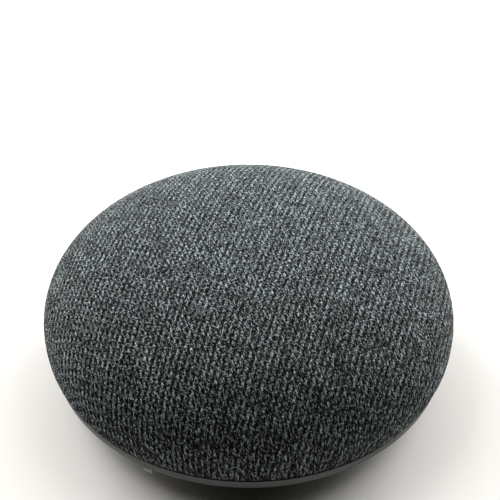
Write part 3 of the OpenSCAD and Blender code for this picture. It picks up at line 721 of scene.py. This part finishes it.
def usb_port():
    """Folded steel shell of the power socket, its tongue and the five contacts on it."""
    low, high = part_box("usb_port")
    wall, corner, half_w = 0.3 * MM, 0.5 * MM, high.x
    bottom, top, back, front = low.z, high.z, low.y, high.y
    cut = 1.0 * MM

    def outline(inset):
        x0, z0, z1 = half_w - inset, bottom + inset, top - inset
        low_edge = [(-x0 + cut, z0), (x0 - cut, z0)]
        return rounded(low_edge + [(x0, z0 + cut), (x0, z1), (-x0, z1), (-x0, z0 + cut)], corner)

    lip = 0.12 * MM
    rows = [(back, 0), (front - lip, 0), (front, lip), (front, wall - 0.05 * MM), (front - lip, wall),
            (back + 2 * wall, wall)]
    points = [(x, y, z) for y, inset in rows for x, z in outline(inset)]
    count = len(outline(0))
    faces = [list(range(count)), list(range(count * (len(rows) - 1), count * len(rows)))[::-1]]
    for row in range(len(rows) - 1):
        faces += loop_faces(row * count, (row + 1) * count, count)
    shell = new_piece("usb_shell", points, faces, "tin_plate")
    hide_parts("usb_port")
    sharpen(outward(shell), 40)

    tongue_z, tongue_w = bottom + 1.1 * MM, half_w - 1.7 * MM
    tongue = new_piece(
        "usb_tongue",
        *extruded(box_outline(-tongue_w, tongue_w, back + 0.6 * MM, front - 0.6 * MM, 0.3 * MM),
                  tongue_z, tongue_z + 0.6 * MM, 0.08 * MM),
        "dark_plastic",
    )
    sharpen(outward(tongue), 40)
    contacts = [
        extruded(box_outline(x - 0.2 * MM, x + 0.2 * MM, back + 1.2 * MM, front - 0.9 * MM, 0.08 * MM),
                 tongue_z - 0.08 * MM, tongue_z + 0.05 * MM, 0.03 * MM)
        for x in np.arange(-2, 3) * 0.65 * MM
    ]
    pins = new_piece("usb_contacts", *joined(contacts), "gold_plate")
    sharpen(outward(pins), 40)


def flexing_ring(name, node, slot, middle, thickness):
    """Thin turned sheet about a middle line."""
    line = np.array(middle)
    run = np.gradient(line, axis=0)
    away = np.stack([-run[:, 1], run[:, 0]], 1) / np.hypot(*run.T)[:, None] * thickness / 2
    profile = [tuple(p) for p in np.concatenate([line + away, (line - away)[::-1]])]
    piece = outward(new_piece(name, *turned_mesh(profile, 96, closed=True), slot, body=None))
    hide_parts(node)
    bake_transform(piece)
    return sharpen(piece, 50)


def spider():
    """Corrugated disc of resin-dipped cloth that centres the voice coil."""
    low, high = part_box("spider")
    start, wave, waves = 6.9 * MM, 1.5 * MM, 4.5
    radii = np.concatenate([[6.5 * MM], np.linspace(start, start + wave * waves, 73), [high.x - 0.1 * MM]])
    phase = np.clip((radii - start) / wave, 0, waves) * math.tau
    heights = low.z + 0.4 * MM + 0.25 * MM * np.cos(phase)
    flexing_ring("spider_cloth", "spider", "spider_cloth", list(zip(radii, heights)), 0.24 * MM)


def surround():
    """Half-roll rubber surround between the cone's rim and the basket."""
    low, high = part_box("cone_surround")
    lip_z, roll_r, roll_c = low.z + 0.2 * MM, 2.0 * MM, 18.2 * MM
    roll_h = high.z - lip_z - 0.2 * MM
    turns = np.linspace(math.pi, 0, 25)
    middle = [(15.1 * MM, lip_z), (15.8 * MM, lip_z)]
    middle += [(roll_c + roll_r * math.cos(t), lip_z + roll_h * math.sin(t)) for t in turns]
    middle += [(20.8 * MM, lip_z), (high.x - 0.1 * MM, lip_z)]
    flexing_ring("surround_roll", "cone_surround", "soft_black", middle, 0.36 * MM)


# ---------- stage ----------


def floor():
    """Pale, faintly warm table top."""
    g = Graph("table")
    at = g.place()
    cloud = g.noise(at, 0.01, 3.0)
    g.set(Base_Color=g.mix(cloud, (0.60, 0.585, 0.56), (0.64, 0.625, 0.60)), Roughness=0.7,
          Specular_IOR_Level=0.2)
    mesh = bpy.data.meshes.new("table")
    mesh.from_pydata([tuple(p) for p in ring(0.9, 0, 96)], [], [tuple(range(96))])
    made = bpy.data.objects.new("table", mesh)
    mesh.materials.append(g.material)
    bpy.context.scene.collection.objects.link(made)


def soft_panel(name, azimuth, elevation, power):
    """Square soft light aimed at the speaker. Azimuth 0 is behind it, positive towards +X."""
    turn, rise, distance = math.radians(azimuth), math.radians(elevation), 1.2
    away = Vector((math.cos(rise) * math.sin(turn), -math.cos(rise) * math.cos(turn), math.sin(rise)))
    data = bpy.data.lights.new(name, "AREA")
    data.size, data.energy = 0.8, power
    made = bpy.data.objects.new(name, data)
    made.location = away * distance
    made.rotation_euler = (-away).to_track_quat("-Z", "Y").to_euler()
    bpy.context.scene.collection.objects.link(made)


def studio():
    """Soft light from both back corners and above, with a little fill from all round."""
    world = bpy.data.worlds.new("studio")
    world.use_nodes = True
    tree = world.node_tree
    fill = tree.nodes["Background"]
    fill.inputs["Color"].default_value = (1.0, 0.95, 0.88, 1)
    fill.inputs["Strength"].default_value = 0.018
    # The backdrop is pale where the camera sees it, but lights the speaker no more than the fill
    backdrop = tree.nodes.new("ShaderNodeBackground")
    backdrop.inputs["Color"].default_value = (0.93, 0.925, 0.91, 1)
    backdrop.inputs["Strength"].default_value = 1.0
    pick = tree.nodes.new("ShaderNodeMixShader")
    ray = tree.nodes.new("ShaderNodeLightPath")
    tree.links.new(ray.outputs["Is Camera Ray"], pick.inputs[0])
    tree.links.new(fill.outputs[0], pick.inputs[1])
    tree.links.new(backdrop.outputs[0], pick.inputs[2])
    tree.links.new(pick.outputs[0], tree.nodes["World Output"].inputs["Surface"])
    bpy.context.scene.world = world
    soft_panel("back_right", -50, 25, 25)
    soft_panel("back_left", 50, 25, 24)
    soft_panel("side_right", -70, 55, 5.5)
    soft_panel("side_left", 70, 55, 8.5)
    soft_panel("back_high", 0, 55, 7)


def camera():
    """Photo's view: from the port side, looking down on the dome."""
    rise, distance, tilt_up, roll = math.radians(40.6), 260 * MM, math.radians(2.5), math.radians(0.22)
    data = bpy.data.cameras.new("camera")
    data.lens, data.sensor_width, data.shift_x = 77.83, 36, 0.0021
    data.clip_start, data.clip_end = 0.01, 20
    made = bpy.data.objects.new("camera", data)
    look = Matrix.Rotation(math.pi, 4, "Z") @ Matrix.Rotation(math.pi / 2 - rise + tilt_up, 4, "X")
    spot = (0, distance * math.cos(rise), TOP_Z / 2 + distance * math.sin(rise))
    made.matrix_world = Matrix.Translation(spot) @ look @ Matrix.Rotation(roll, 4, "Z")
    bpy.context.scene.collection.objects.link(made)
    bpy.context.scene.camera = made


camera()
floor()
studio()
finish_cad_nodes()
knit_cover()
foot()
mute_slider()
reset_button()
usb_port()
spider()
surround()

bpy.context.scene.view_settings.view_transform = "Standard"
# A little more contrast, as a product photograph has
bpy.context.scene.view_settings.gamma = 0.9
bpy.context.view_layer.update()
